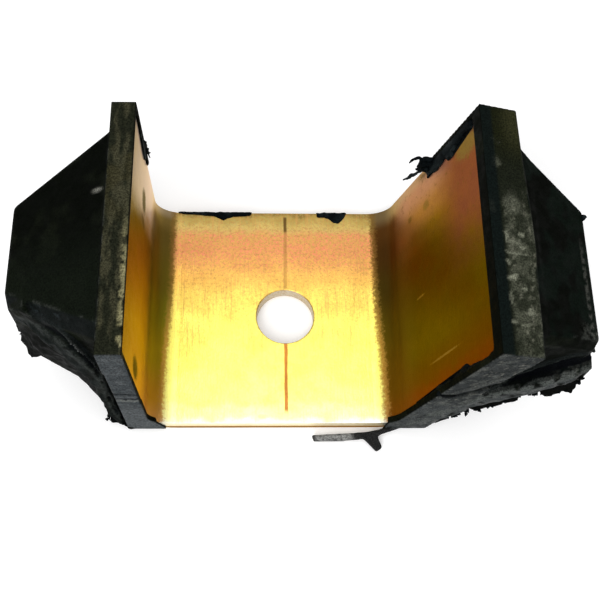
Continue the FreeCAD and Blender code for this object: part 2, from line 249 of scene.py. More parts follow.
world = bpy.data.worlds.new("studio")
bpy.context.scene.world = world
world.use_nodes = True
sky = world.node_tree.nodes["Background"]
sky.inputs[0].default_value = (1.0, 1.0, 1.0, 1)
sky.inputs[1].default_value = 0.85
panel("overhead", (0.0, 0.12, 0.55), (0, 0.02, 0), 0.24, 0.22, 0.35)
panel("front_fill", (-0.25, -0.55, 0.6), (0, 0, 0.02), 0.5, 0.5, 4.0)
bpy.context.scene.view_settings.view_transform = "Standard"
print("sky and two panels are set")

# %% [markdown]
# ## Yellow plated steel
# Zinc plate is dipped in chromate, which leaves a film that shows yellow, pink, olive or brown as its
# thickness changes. It pools in the folds and thins along the edges, so its colour follows the part: yellow
# on the flat floor, pink and mottled toward the back, olive in the folds. The finish is therefore painted by
# position on the part, with ramps along the trough and up each arm, and noise breaks every border.

# %% Steel: positions in millimetres
FRONT, BACK = -34.0, 35.0
plate, t, plate_shader = new_finish("plated_steel")
mm = t.millimetres()
parts = t.add("ShaderNodeSeparateXYZ", {0: mm})
x, y, z = parts.outputs[0], parts.outputs[1], parts.outputs[2]
streaked = t.add("ShaderNodeMapping", {0: mm, 3: (1.0, 0.12, 0.35)}).outputs[0]
brushed = t.add("ShaderNodeMapping", {0: mm, 3: (1.0, 0.05, 0.3)}).outputs[0]
blotch = t.grain(mm, 0.16, 3.0, 0.6)
speck = t.grain(mm, 1.7, 3.0, 0.7)
streak = t.grain(streaked, 1.2, 3.0, 0.6)
wobble = t.math("MULTIPLY_ADD", t.grain(mm, 1.1, 4.0, 0.75), 4.0, -2.0)
print("steel is painted in millimetres")

# %% Steel: the floor of the trough
floor_y = t.math("ADD", y, t.math("MULTIPLY_ADD", blotch, 5.0, -2.5))
# The ramp is partly the film's own colour and partly painted highlight: it brightens toward the front, up to
# near white at the front edge, as a painted reflection of the light.
web = t.colours(floor_y, FRONT, BACK, [
    (-33.6, (1.0, 0.98, 0.8)), (-30.5, (1.0, 0.96, 0.38)), (-26.0, (1.0, 0.95, 0.24)),
    (-14.0, (1.0, 0.93, 0.18)), (-3.0, (0.98, 0.84, 0.16)), (6.0, (0.94, 0.68, 0.13)),
    (12.5, (0.88, 0.51, 0.11)), (17.5, (0.76, 0.40, 0.10)), (22.0, (0.70, 0.34, 0.10)),
    (26.0, (0.66, 0.36, 0.10)), (29.5, (0.60, 0.44, 0.13)), (32.5, (0.44, 0.31, 0.08)),
    (34.2, (0.24, 0.16, 0.04))])
pink = t.times(t.ramp(floor_y, 10.0, 21.0), t.ramp(floor_y, 31.0, 26.5), t.ramp(speck, 0.45, 0.62))
web = t.mix(pink, web, (0.80, 0.26, 0.14))
olive = t.times(t.ramp(floor_y, 26.0, 30.0), t.ramp(speck, 0.50, 0.64), 0.6)
web = t.mix(olive, web, (0.42, 0.38, 0.14))
pits = t.ramp(t.grain(mm, 1.1, 5.0, 0.85), 0.46, 0.66)
web = t.mix(t.times(pits, t.ramp(floor_y, -14.0, 24.0, 0.16, 0.85)), web, (0.44, 0.22, 0.07))
scratches = t.ramp(t.grain(brushed, 1.5, 2.0, 0.6), 0.54, 0.66)
web = t.mix(t.times(scratches, t.ramp(floor_y, -30.0, 10.0, 0.16, 0.45)), web, (0.60, 0.32, 0.10))
print("floor colours run from", FRONT, "to", BACK, "mm")

# %% Steel: where the floor turns up into the arms
edge_left = t.math("ADD", t.math("ADD", x, wobble), t.ramp(y, -30.0, 15.0, 0.9, -0.7))
edge_right = t.math("ADD", t.math("ADD", x, wobble), t.ramp(y, -30.0, 15.0, -1.2, 0.5))
fold_left = t.ramp(edge_left, -33.6, -36.2)
fold_right = t.ramp(edge_right, 26.4, 29.4)
both_folds = t.math("MAXIMUM", fold_left, fold_right)
print("folds are parted from the floor")

# %% [markdown]
# The arms stand in each other's reflection, and the film runs thicker on them. Each has its own colours along
# the trough, a second set for the deep fold below, and its own faults: a cream bloom at the back of the left
# arm, and mauve, rust and brown spots on the right one.

# %% Steel: the left arm
left_side = t.colours(y, FRONT, BACK, [
    (-33.0, (0.60, 0.30, 0.06)), (-25.0, (0.56, 0.30, 0.04)), (-16.0, (0.52, 0.31, 0.022)),
    (-8.0, (0.42, 0.24, 0.018)), (0.0, (0.32, 0.18, 0.014)), (9.0, (0.22, 0.13, 0.016)),
    (16.0, (0.17, 0.11, 0.02)), (22.0, (0.30, 0.22, 0.10)), (28.0, (0.68, 0.54, 0.38)),
    (34.0, (0.78, 0.62, 0.46))])
cream = t.times(t.ramp(t.math("MULTIPLY_ADD", z, 0.22, y), 20.0, 30.0), t.ramp(z, 14.0, 22.0))
left_side = t.mix(cream, left_side, (0.62, 0.52, 0.50))
# Painted light and shade: the arm's colour is multiplied by 1.62 low down, near its fold, falling to 0.55 at
# its top.
left_side = t.dimmed(left_side, t.ramp(z, 24.0, 61.0, 1.62, 0.55, smooth=False))
left_deep = t.colours(y, FRONT, BACK, [
    (-33.0, (0.80, 0.40, 0.12)), (-26.0, (0.66, 0.34, 0.03)), (-14.0, (0.44, 0.33, 0.012)),
    (0.0, (0.30, 0.26, 0.010)), (12.0, (0.25, 0.18, 0.012)), (26.0, (0.22, 0.14, 0.02)),
    (31.0, (0.34, 0.22, 0.05)), (34.0, (0.60, 0.44, 0.24))])
left_side = t.mix(t.ramp(z, 21.0, 8.0), left_side, left_deep)
print("left arm fades into its fold between z", 8, "and", 21, "mm")

# %% Steel: the right arm
right_side = t.colours(y, FRONT, BACK, [
    (-33.0, (0.25, 0.065, 0.005)), (-26.0, (0.20, 0.10, 0.003)), (-16.0, (0.18, 0.135, 0.003)),
    (-8.0, (0.15, 0.12, 0.003)), (1.0, (0.125, 0.095, 0.003)), (9.0, (0.13, 0.08, 0.005)),
    (15.0, (0.19, 0.10, 0.02)), (22.0, (0.34, 0.155, 0.06)), (30.0, (0.43, 0.21, 0.14)),
    (34.0, (0.45, 0.28, 0.18))])
mauve = t.times(t.ramp(z, 34.0, 52.0), t.ramp(t.math("MULTIPLY_ADD", blotch, 14.0, y), -4.0, 20.0))
right_side = t.mix(mauve, right_side, (0.20, 0.058, 0.045))
rust = t.times(t.ramp(y, -24.0, -32.0), t.ramp(blotch, 0.3, 0.6))
right_side = t.mix(rust, right_side, (0.30, 0.085, 0.01))
spots = t.times(t.ramp(t.grain(mm, 0.55, 4.0, 0.7), 0.58, 0.68), t.ramp(y, -6.0, 10.0), 0.55)
right_side = t.mix(spots, right_side, (0.10, 0.06, 0.02))
right_deep = t.colours(y, FRONT, BACK, [
    (-33.0, (0.26, 0.09, 0.005)), (-22.0, (0.21, 0.11, 0.004)), (-5.0, (0.15, 0.10, 0.003)),
    (8.0, (0.12, 0.07, 0.003)), (20.0, (0.12, 0.045, 0.004)), (28.0, (0.17, 0.06, 0.008)),
    (33.0, (0.36, 0.24, 0.10))])
right_side = t.mix(t.ramp(z, 20.0, 8.0), right_side, right_deep)
print("right arm fades into its fold between z", 8, "and", 20, "mm")

# %% Steel: floor, arms and the dark rims of the folds
colour = t.mix(fold_left, web, left_side)
colour = t.mix(fold_right, colour, right_side)
shadow = t.times(both_folds, t.ramp(z, 12.0, 6.0), t.ramp(y, -14.0, 10.0, 0.12, 0.55))
colour = t.mix(shadow, colour, (0.0, 0.0, 0.0))
rims = [t.times(fold, t.times(t.math("SUBTRACT", 1.0, fold), 4.0)) for fold in (fold_left, fold_right)]
rim_colour = t.mix(t.ramp(y, -12.0, 10.0), (0.50, 0.20, 0.03), (0.15, 0.075, 0.012))
colour = t.mix(t.times(t.math("MAXIMUM", *rims), 0.7), colour, rim_colour)
print("floor and arms are one colour now")

# %% [markdown]
# A fine brown line runs down the middle of the floor and stops short of the hole. Oil and handling left
# soft-edged stains. All of them belong to one place each, so they are masks round that place, and the noise
# that colours the plate also breaks them up.

# %% Steel: the line down the middle
off_line = t.math("ADD", t.math("SUBTRACT", x, 0.15), t.math("MULTIPLY_ADD", streak, 0.5, -0.25))
middle = t.math("ABSOLUTE", off_line)
line = t.times(t.ramp(middle, 0.7, 0.3), t.ramp(y, -30.5, -28.5))
front_line = t.times(line, t.ramp(y, -7.0, -9.0), 0.95)
back_line = t.times(line, t.ramp(y, 8.0, 10.0), t.ramp(y, 34.0, 32.5), 0.5)
tick = t.times(t.ramp(middle, 0.7, 0.25), t.ramp(y, 27.4, 28.6), t.ramp(y, 33.6, 32.8), 0.85)
colour = t.mix(front_line, colour, (0.46, 0.15, 0.03))
colour = t.mix(back_line, colour, (0.30, 0.15, 0.04))
colour = t.mix(tick, colour, (0.09, 0.05, 0.015))
print("the line is broken round the hole")


# %% Steel: stains
def stain(colour, spot, spread, strength, shade):
    """A soft-edged stain round one place, broken up by the fine noise."""
    away = t.vector("MULTIPLY", t.vector("SUBTRACT", mm, spot), tuple(1 / s for s in spread))
    far = t.math("ADD", t.length(away), t.math("MULTIPLY_ADD", speck, 1.1, -0.55))
    return t.mix(t.times(t.ramp(far, 1.0, 0.5), strength), colour, shade)


OILY = (0.03, 0.028, 0.03)
STAINS = [
    ((LEFT_X, 21.5, 36.0), (1.8, 4.4, 5.0), 1.0, OILY),
    ((LEFT_X, 15.5, 36.0), (1.5, 2.0, 5.0), 0.6, OILY),
    ((LEFT_X, -27.0, 36.0), (1.8, 3.8, 6.0), 1.0, (0.03, 0.02, 0.01)),
    ((39.6, 23.3, 31.8), (3.0, 1.9, 2.4), 0.55, (0.16, 0.11, 0.04)),
    ((36.5, 23.8, 21.5), (3.0, 1.3, 1.6), 0.6, (0.12, 0.07, 0.03)),
    ((48.6, 28.5, 55.0), (6.0, 5.0, 9.0), 0.75, (0.17, 0.13, 0.05)),
    ((42.0, -23.4, 36.0), (9.0, 0.45, 11.0), 0.45, (0.55, 0.38, 0.14)),
    ((38.0, -2.2, 25.0), (4.0, 0.4, 3.0), 0.5, (0.5, 0.4, 0.12)),
    ((-6.5, -31.0, SHEET), (2.2, 0.8, 1.0), 0.5, (0.55, 0.36, 0.2)),
]
for spot, spread, strength, shade in STAINS:
    colour = stain(colour, spot, spread, strength, shade)
print(len(STAINS), "stains")

# %% Steel: the cut front edge with its painted highlight, and the bolt hole
# The cut front edge is painted near white as a painted highlight, and darker brown along its bottom.
front_face = t.times(t.ramp(y, -32.7, -32.95), t.ramp(z, 6.0, 5.0))
colour = t.mix(front_face, colour, (1.0, 0.97, 0.82))
colour = t.mix(t.times(front_face, t.ramp(z, 2.2, 1.4)), colour, (0.30, 0.15, 0.06))
from_hole = t.length(t.vector("MULTIPLY", mm, (1.0, 1.0, 0.0)))
bore = t.times(t.ramp(from_hole, 8.62, 8.52), t.ramp(z, 4.6, 4.2))
colour = t.mix(bore, colour, (0.60, 0.55, 0.46))
chafed = t.times(t.ramp(from_hole, 9.4, 8.6), t.ramp(speck, 0.42, 0.6), 0.6)
colour = t.mix(chafed, colour, (0.42, 0.27, 0.10))
print("bare metal shows on the cut edge and in the bore")

# %% Steel: gloss and grain
t.feed(plate_shader.inputs["Base Color"], colour)
in_folds = t.times(both_folds, t.ramp(z, 24.0, 10.0))
plating = t.math("MULTIPLY_ADD", in_folds, -0.22, 1.0)
t.feed(plate_shader.inputs["Metallic"], t.math("SUBTRACT", plating, t.times(bore, 0.6)))
plate_shader.inputs["Specular Tint"].default_value = (0.75, 0.6, 0.3, 1)
t.feed(plate_shader.inputs["Roughness"], t.ramp(t.math("ADD", speck, blotch), 0.7, 1.4, 0.30, 0.46))
relief = {"Strength": 0.25, "Distance": 0.0002, "Height": t.math("ADD", streak, speck)}
t.feed(plate_shader.inputs["Normal"], t.add("ShaderNodeBump", relief))
steel.data.materials.clear()
steel.data.materials.append(plate)
print("steel finish has", len(plate.node_tree.nodes), "nodes")

# %% [markdown]
# ## The rubber mouldings
# Each moulding starts as a copy of its solid. The plain apron on its front is planed off, a torn apron built
# from the rows of its own folds goes on in its place, and a voxel remesh joins the two into one skin, as they
# are one moulding in the real part. The rows say where each lip and groove runs, as (out, along, up) in mm.

# %% Rows of the left apron
LEFT_ROWS = {
    "brow": [
        (31.6, -11.8, 41.6), (27.5, -14.4, 43.4), (22.5, -18.4, 45.8), (18.0, -22.0, 47.2),
        (14.4, -25.2, 46.4), (11.6, -27.2, 41.5), (9.6, -28.4, 35.0), (8.8, -28.9, 26.0),
        (8.8, -29.0, 15.0), (8.6, -30.5, 7.5), (7.2, -32.0, 2.5)],
    "groove": [
        (31.4, -9.8, 39.6), (27.3, -12.4, 41.4), (22.3, -16.2, 43.6), (17.8, -19.8, 45.0),
        (14.0, -22.6, 43.2), (11.2, -24.6, 38.0), (9.4, -25.8, 31.0), (9.0, -26.4, 22.0),
        (9.2, -26.8, 12.0), (8.8, -28.8, 5.5), (7.0, -30.6, 1.5)],
    "lip_top": [
        (32.0, -11.2, 37.5), (26.1, -17.2, 41.0), (21.2, -20.9, 43.0), (17.0, -24.3, 42.0),
        (13.3, -26.5, 37.0), (10.9, -27.9, 32.0), (9.9, -28.6, 26.0), (9.6, -28.9, 18.0),
        (9.9, -29.4, 9.0), (9.2, -31.0, 4.0), (7.0, -32.6, 0.8)],
    "lip_low": [
        (32.6, -11.6, 34.5), (27.0, -18.3, 37.0), (22.7, -22.2, 37.0), (19.4, -24.1, 34.5),
        (16.7, -25.4, 29.5), (14.0, -27.0, 24.0), (12.6, -27.8, 18.0), (11.9, -28.6, 11.0),
        (11.3, -29.4, 4.0), (10.0, -31.2, 0.5), (7.2, -32.8, -1.2)],
    "under": [
        (32.6, -9.6, 33.0), (27.4, -15.6, 34.5), (23.4, -19.2, 33.5), (20.2, -21.3, 30.5),
        (17.4, -22.8, 25.5), (14.8, -24.4, 20.0), (13.4, -25.4, 14.0), (12.4, -26.6, 7.0),
        (11.5, -27.8, 1.0), (10.2, -29.8, -1.5), (7.4, -31.2, -2.6)],
    "hem": [
        (33.0, -12.6, 27.5), (33.1, -14.5, 21.0), (31.3, -17.2, 13.0), (26.7, -17.9, 15.6),
        (22.4, -20.3, 14.0), (17.4, -22.7, 10.0), (14.6, -24.9, 5.5), (12.6, -27.8, 2.0),
        (11.8, -30.3, 2.5), (10.6, -31.2, -1.4), (7.7, -32.2, -1.5), (6.0, -32.9, -3.6)],
}
FOLDS = tuple(LEFT_ROWS)
print("folds from the top down:", ", ".join(FOLDS))

# %% Rows of the right apron
RIGHT_ROWS = {
    "brow": [
        (34.6, -25.4, 50.6), (30.5, -27.0, 51.6), (26.0, -27.8, 50.6), (22.0, -28.6, 45.5),
        (18.4, -29.4, 39.0), (15.2, -30.6, 32.0), (12.2, -31.8, 26.0), (8.0, -32.6, 19.5),
        (3.6, -33.2, 9.0)],
    "groove": [
        (35.2, -22.4, 48.2), (30.4, -24.2, 48.6), (26.0, -25.0, 46.4), (22.2, -25.6, 41.6),
        (18.9, -26.2, 36.0), (16.6, -27.2, 29.0), (14.0, -28.8, 23.5), (9.8, -30.4, 17.5),
        (5.0, -31.6, 7.0)],
    "lip_top": [
        (35.8, -27.8, 46.4), (31.2, -30.0, 45.4), (26.2, -31.3, 43.6), (22.0, -31.9, 39.4),
        (17.2, -31.9, 33.6), (13.4, -32.2, 27.4), (9.4, -32.7, 21.6), (5.4, -33.2, 14.0),
        (3.2, -33.4, 3.5)],
    "lip_low": [
        (36.2, -28.6, 42.6), (31.0, -31.4, 41.4), (27.0, -32.2, 38.6), (24.2, -32.5, 33.6),
        (20.4, -32.4, 26.6), (16.8, -32.4, 19.6), (13.4, -32.6, 12.6), (10.6, -32.9, 5.4),
        (8.4, -33.2, -2.0)],
    "under": [
        (35.8, -25.6, 40.8), (30.8, -28.4, 39.4), (26.8, -29.4, 36.4), (24.2, -29.6, 31.6),
        (20.8, -29.6, 24.6), (17.4, -30.0, 17.6), (14.0, -30.6, 10.4), (11.2, -31.2, 3.2),
        (9.0, -31.8, -3.4)],
    "hem": [
        (34.6, -30.4, 44.0), (35.4, -31.8, 35.6), (30.2, -32.2, 33.0), (25.4, -32.0, 33.2),
        (21.8, -31.8, 22.6), (18.4, -31.8, 15.0), (15.0, -32.0, 10.4), (12.6, -32.5, 4.2),
        (10.2, -32.9, -3.6)],
}
print("its brow starts", RIGHT_ROWS["brow"][0][2], "mm up the arm")

# %% [markdown]
# A torn edge is never a straight line: it wanders in long waves and frays in short ones. The rows are drawn
# out to many points and shaken by layered noise, more toward the hem. The noise starts from the clock unless
# it is given a seed, so it gets a fixed one here and the rags come out the same every time.


# %% Drawing out and shaking a row
NOISE_SEED = 14
noise.seed_set(NOISE_SEED)


def shake(points, seed, size, amount):
    """Noise offsets in mm for each point, smooth over about `size` mm."""
    flat = points.reshape(-1, 3)
    out = np.array([noise.noise_vector(Vector(p) / size + Vector((seed, 0, 0))) for p in flat])
    return (out * amount).reshape(points.shape)


def lengths_along(points):
    """How far each point lies along a line from its start."""
    steps = np.linalg.norm(np.diff(points, axis=0), axis=1)
    return np.concatenate(([0], np.cumsum(steps)))


def drawn_out(row, count):
    """A row of a few points drawn out evenly to many along a smooth line."""
    p = np.array(row, float)
    steps = lengths_along(p)
    want = np.linspace(0, steps[-1], count)
    line = np.stack([np.interp(want, steps, p[:, i]) for i in range(3)], -1)
    for _ in range(3):
        line[1:-1] = (line[:-2] + 2 * line[1:-1] + line[2:]) / 4
    return line


print("a row of 3 points drawn out to 5:", drawn_out([(0, 0, 0), (1, 0, 0), (2, 0, 0)], 5)[:, 0])


# %% From rows to a closed apron
ACROSS, BETWEEN = 120, 6
INWARD = (-2.0, 6.0, 0)
apron_folds = {}


def shaken_face(rows, seed, push):
    """The apron's face: lines between the rows, frayed toward a hem that is pushed on by `push` mm."""
    lines = [drawn_out(rows[name], ACROSS) for name in FOLDS]
    face = []
    for a, b in zip(lines[:-1], lines[1:]):
        face += [a * (1 - k / BETWEEN) + b * k / BETWEEN for k in range(BETWEEN)]
    face = np.array([*face, lines[-1]])
    fray = np.linspace(0, 1, len(face))[:, None, None] ** 2
    waves = shake(face, seed, 7.0, 0.8) * (0.35 + fray)
    face += waves + shake(face, seed + 5, 1.9, 0.7) * (0.3 + 0.7 * fray)
    for step, share in ((1, 1.0), (2, 0.6), (3, 0.3)):
        way = face[-1] - face[-1 - BETWEEN]
        face[-step] += way / np.linalg.norm(way, axis=1)[:, None] * (push * share)
    return face


def apron(arm, rows, seed, push):
    """A closed solid whose face runs through the rows and whose back lies inside the block."""
    face = shaken_face(rows, seed, push)
    depths = np.repeat(np.arange(len(face)) / BETWEEN, ACROSS)
    apron_folds[arm.name] = (arm.place(face).reshape(-1, 3), depths, arm.place(face[-1]))
    grid = np.concatenate([face, (face + np.array(INWARD))[::-1]])
    mesh = bmesh.new()
    rings = [[mesh.verts.new(v) for v in arm.place(line) * MM] for line in grid]
    for a, b in zip(rings, rings[1:] + rings[:1]):
        for i in range(ACROSS - 1):
            mesh.faces.new((a[i], a[i + 1], b[i + 1], b[i]))
    mesh.faces.new([r[0] for r in rings])
    mesh.faces.new([r[-1] for r in reversed(rings)])
    bmesh.ops.recalc_face_normals(mesh, faces=mesh.faces)
    return mesh


print("an apron has", (len(FOLDS) - 1) * BETWEEN + 1, "lines of", ACROSS, "points")


# %% Small tools for meshes
def thing_from(mesh, name):
    data = bpy.data.meshes.new(name)
    mesh.to_mesh(data)
    mesh.free()
    thing = bpy.data.objects.new(name, data)
    bpy.context.scene.collection.objects.link(thing)
    return thing


def applied(thing):
    """Bakes the modifiers of an object into its mesh."""
    graph = bpy.context.evaluated_depsgraph_get()
    data = bpy.data.meshes.new_from_object(thing.evaluated_get(graph))
    thing.modifiers.clear()
    thing.data = data
    return thing


def joined(things, name):
    mesh = bmesh.new()
    for thing in things:
        mesh.from_mesh(thing.data)
        bpy.data.objects.remove(thing)
    return thing_from(mesh, name)


def per_corner(thing, what):
    """A reading of three numbers from every corner of the mesh."""
    flat = np.empty(len(thing.data.vertices) * 3, np.float32)
    thing.data.vertices.foreach_get(what, flat)
    return flat.reshape(-1, 3).astype(float)


def corners_of(thing):
    return per_corner(thing, "co") / MM


def normals_of(thing):
    return per_corner(thing, "normal")


def set_corners(thing, points):
    thing.data.vertices.foreach_set("co", (points * MM).astype(np.float32).ravel())
    thing.data.update()


def lofted(rings, split_caps=False):
    """A closed solid over rings of points in mm: a wall between each two rings, and a cap on each end."""
    mesh = bmesh.new()
    loops = [[mesh.verts.new(point * MM) for point in ring] for ring in rings]
    count = len(loops[0])
    for low, high in zip(loops, loops[1:]):
        for i in range(count):
            j = (i + 1) % count
            mesh.faces.new((low[i], low[j], high[j], high[i]))
    caps = [mesh.faces.new(loops[-1]), mesh.faces.new(loops[0][::-1])]
    if split_caps:
        bmesh.ops.triangulate(mesh, faces=caps)
    bmesh.ops.recalc_face_normals(mesh, faces=mesh.faces)
    return mesh


print("mesh tools are ready")

# %% [markdown]
# The block's back bulges where it meets the post, by four or five millimetres more than the solid does, and a
# small cove softens that inner corner. The copy's back face is moved out, most at the post and not at all at
# the block's outer face, and the cove is one more prism, which the remesh melts in.


# %% A copy with its back filled out, and a cove
def solid_copy(node):
    mesh = bmesh.new()
    mesh.from_mesh(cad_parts[node].data)
    bmesh.ops.remove_doubles(mesh, verts=mesh.verts, dist=1e-6)
    return thing_from(mesh, node + "_copy")


def slab(arm, plan, low, high, upright=True):
    """A prism: upright over a plan in (out, along), or lying along the trough over a view in (out, up)."""
    rings = [[(o, v, h) if upright else (o, h, v) for o, v in plan] for h in (low, high)]
    return lofted([[arm.place(spot) for spot in ring] for ring in rings])


def filled_out(thing, arm, far, gain):
    """Moves the block's back face out where it meets the post, and less toward the block's outer face."""
    out, along, up = arm.read(corners_of(thing)).T
    share = np.clip((far - out) / (far - arm.post), 0, 1) * gain
    on_back = (out > arm.post - 0.3) & (along > 8) & (along < 31)
    set_corners(thing, corners_of(thing) + np.outer(on_back * share, (0, 1, 0)))


def cove(arm, meets, top):
    """A rounded corner between the post and the block's back, which meet at `meets` along."""
    near, far = arm.post - 0.5, arm.post + 1.4
    plan = [(near, meets - 2), (near, meets + 1.6), (arm.post + 0.2, meets + 0.7), (far, meets - 0.9),
            (far, meets - 2)]
    return thing_from(slab(arm, plan, 16.0, top), "cove")


BACKS = {
    "left": {"far": 32.1, "gain": 4.8, "meets": 30.6, "top": 53.4},
    "right": {"far": 32.4, "gain": 4.1, "meets": 27.5, "top": 58.6},
}
print("backs grow by", BACKS["left"]["gain"], "and", BACKS["right"]["gain"], "mm at the posts")

# %% [markdown]
# What is in the way, or was trimmed on the real part, is planed off by boolean cutters. The first cutter of
# each block takes its plain apron: it stops at the block's own front face, so what lies behind keeps its
# shape. On the right, three thin ones bare the arm's edge where the skin is torn, end the lip inside the
# trough, and undercut the tip. On the left, one lying prism trims the toe that reaches over the fold.

# %% Cutters
IN_PLAN, IN_SIDE_VIEW = True, False
CUTTERS = {
    "left": [
        ("plain apron", IN_PLAN, 4.0, 90.0,
         [(5.9, -60), (5.9, -28.3), (32.1, -14.5), (60, -14.5), (60, -60)]),
        ("over the toe", IN_SIDE_VIEW, -40.0, -31.0,
         [(-0.9, 7.4), (-1.9, 4.7), (-3.6, 0.5), (-5.0, -2.7), (-5.4, -4.6), (-9, -4.6), (-9, 12),
          (-0.9, 12)]),
    ],
    "right": [
        ("plain apron", IN_PLAN, 4.0, 90.0,
         [(10.1, -60), (10.1, -28.7), (32.3, -26.1), (32.6, -15.0), (60, -15.0), (60, -60)]),
        ("bare edge", IN_PLAN, 18.0, 31.0,
         [(-3, 27), (-3, 37), (4.0, 37), (4.0, 34.64), (0.01, 34.64), (0.01, 27)]),
        ("inner lip", IN_PLAN, 25.0, 56.8, [(-3, 26), (-3, 33.6), (0.01, 33.6), (0.01, 26)]),
        ("under the tip", IN_PLAN, 50.0, 58.8, [(-3, -30.9), (-3, 33.6), (0.01, 33.6), (0.01, -30.9)]),
    ],
}


def planed(thing, cutter):
    cut = thing.modifiers.new("plane_off", "BOOLEAN")
    cut.operation, cut.solver, cut.object = "DIFFERENCE", "EXACT", cutter
    applied(thing)
    bpy.data.objects.remove(cutter)
    return thing


for side, cuts in CUTTERS.items():
    print(side, "block loses its", ", ".join(cut[0] for cut in cuts))


# %% Both mouldings in one skin each
VOXEL = 0.48
APRONS = {"left": (LEFT_ROWS, 3.0, 1.3), "right": (RIGHT_ROWS, 11.0, 0.7)}
mouldings = {}


def one_skin(thing, voxel):
    """Joins overlapping solids into one closed skin of even small faces."""
    remesh = thing.modifiers.new("skin", "REMESH")
    remesh.mode, remesh.voxel_size, remesh.use_smooth_shade = "VOXEL", voxel * MM, True
    applied(thing)
    smooth = thing.modifiers.new("soften", "SMOOTH")
    smooth.factor, smooth.iterations = 0.5, 2
    return applied(thing)


for arm in (left_arm, right_arm):
    node = arm.name + "_rubber_block"
    back = BACKS[arm.name]
    block = solid_copy(node)
    filled_out(block, arm, back["far"], back["gain"])
    corner = cove(arm, back["meets"], back["top"])
    for _, upright, low, high, plan in CUTTERS[arm.name]:
        block = planed(block, thing_from(slab(arm, plan, low, high, upright), "cutter"))
    flap = thing_from(apron(arm, *APRONS[arm.name]), "apron")
    block = one_skin(joined([block, flap, corner], node), VOXEL)
    mouldings[arm.name] = block
    print(node, "has", len(block.data.polygons), "faces")

# %% [markdown]
# Grooves and small folds that are too fine for the rows are pressed into the skin afterwards, the way a
# finger marks clay: every corner near a line sinks, or rises, along its own normal, by a smooth profile
# across the line. The outer wall of the right post swells by a millimetre or two in the same way, but along
# the arm's own outward direction.


# %% Pressing lines into the skin
def fade(value, low, high):
    s = np.clip((value - low) / (high - low), 0, 1)
    return s * s * (3 - 2 * s)


def nearness(points, line, width):
    """1 on a line and 0 at its width away, for each point; all in mm."""
    away = np.full(len(points), 1e9)
    for dot in drawn_out(line, 80):
        away = np.minimum(away, np.linalg.norm(points - dot, axis=1))
    return fade(width - away, 0, width)


def pressed(thing, arm, line, width, depth):
    points = corners_of(thing)
    near = nearness(arm.read(points), line, width)
    set_corners(thing, points - normals_of(thing) * (near * depth)[:, None])


CREASES = {
    "left": [
        ([(6.9, -33.4, 29.6), (4.0, -33.6, 29.5), (-0.6, -33.6, 28.6)], 1.0, 0.5),
        ([(17.6, -22.6, 53.0), (16.6, -24.2, 49.0), (14.2, -26.0, 46.0), (11.8, -27.4, 42.0)], 1.5, -0.7),
    ],
    "right": [
        ([(13.6, -32.4, 47.0), (9.6, -33.5, 41.0), (7.8, -33.6, 36.4), (4.4, -33.6, 30.4),
          (1.5, -33.6, 29.2), (-0.6, -33.6, 29.0)], 1.7, 1.3),
        ([(8.6, -33.6, 49.0), (5.6, -33.6, 40.5), (2.4, -33.6, 34.5)], 1.2, -0.5),
    ],
}
for arm in (left_arm, right_arm):
    for line, width, depth in CREASES[arm.name]:
        pressed(mouldings[arm.name], arm, line, width, depth)
    print(arm.name, "block has", len(CREASES[arm.name]), "creases")

# %% The swell of the right post, and a level foot
SWELL_AT = (-34, -26, -19, -12, -5, 2, 9, 24, 34)
SWELL_BY = (0.8, 0.9, 1.0, 1.2, 1.6, 1.5, 1.2, 0.5, 0.3)
LOWEST = 0.05
for arm in (left_arm, right_arm):
    points = corners_of(mouldings[arm.name])
    if arm is right_arm:
        local = arm.read(points)
        out, along, up = local.T
        wall = fade(out, 4.0, 9.4) * fade(-out, -15.0, -10.8) * fade(up, 50.0, 57.0)
        local[:, 0] += np.interp(along, SWELL_AT, SWELL_BY) * wall
        points = arm.place(local)
    points[:, 2] = np.maximum(points[:, 2], LOWEST)
    set_corners(mouldings[arm.name], points)
    print(arm.name, "block has", len(points), "corners")

# %% [markdown]
# ## Thin flash on the steel
# Rubber that crept between the mould and the plate stays on the steel as thin films with torn borders. Each
# film is drawn as an outline on the face it clings to, its border is shaken, and it is given a fraction of a
# millimetre of thickness with a slanting rim, so that it meets the steel like a skin and not like a tile.
# Thicker rags are strands: flattened tubes along a few points.


# %% Making a film or a strand
BORDER_STEP = 0.45
LENGTHWISE, AROUND = 26, 10


def film(to_part, outline, thick, seed, fray=0.45):
    """A thin patch; to_part turns (across, along, height above the steel) in mm into the part's frame."""
    ring = np.array(outline + outline[:1], float)
    steps = lengths_along(ring)
    want = np.arange(0, steps[-1], BORDER_STEP)
    shaken = np.stack([np.interp(want, steps, ring[:, i]) for i in range(2)] + [want * 0], -1)
    shaken = shaken + shake(shaken, seed, 1.6, fray) + shake(shaken, seed + 3, 0.6, fray * 0.5)
    middle = shaken[:, :2].mean(0)
    rings = []
    for share, height in ((1.0, 0.02), (0.97, 0.6 * thick), (0.86, thick)):
        points = [(*(middle + (p[:2] - middle) * share), height) for p in shaken]
        rings.append(to_part(np.array(points)))
    return lofted(rings, split_caps=True)


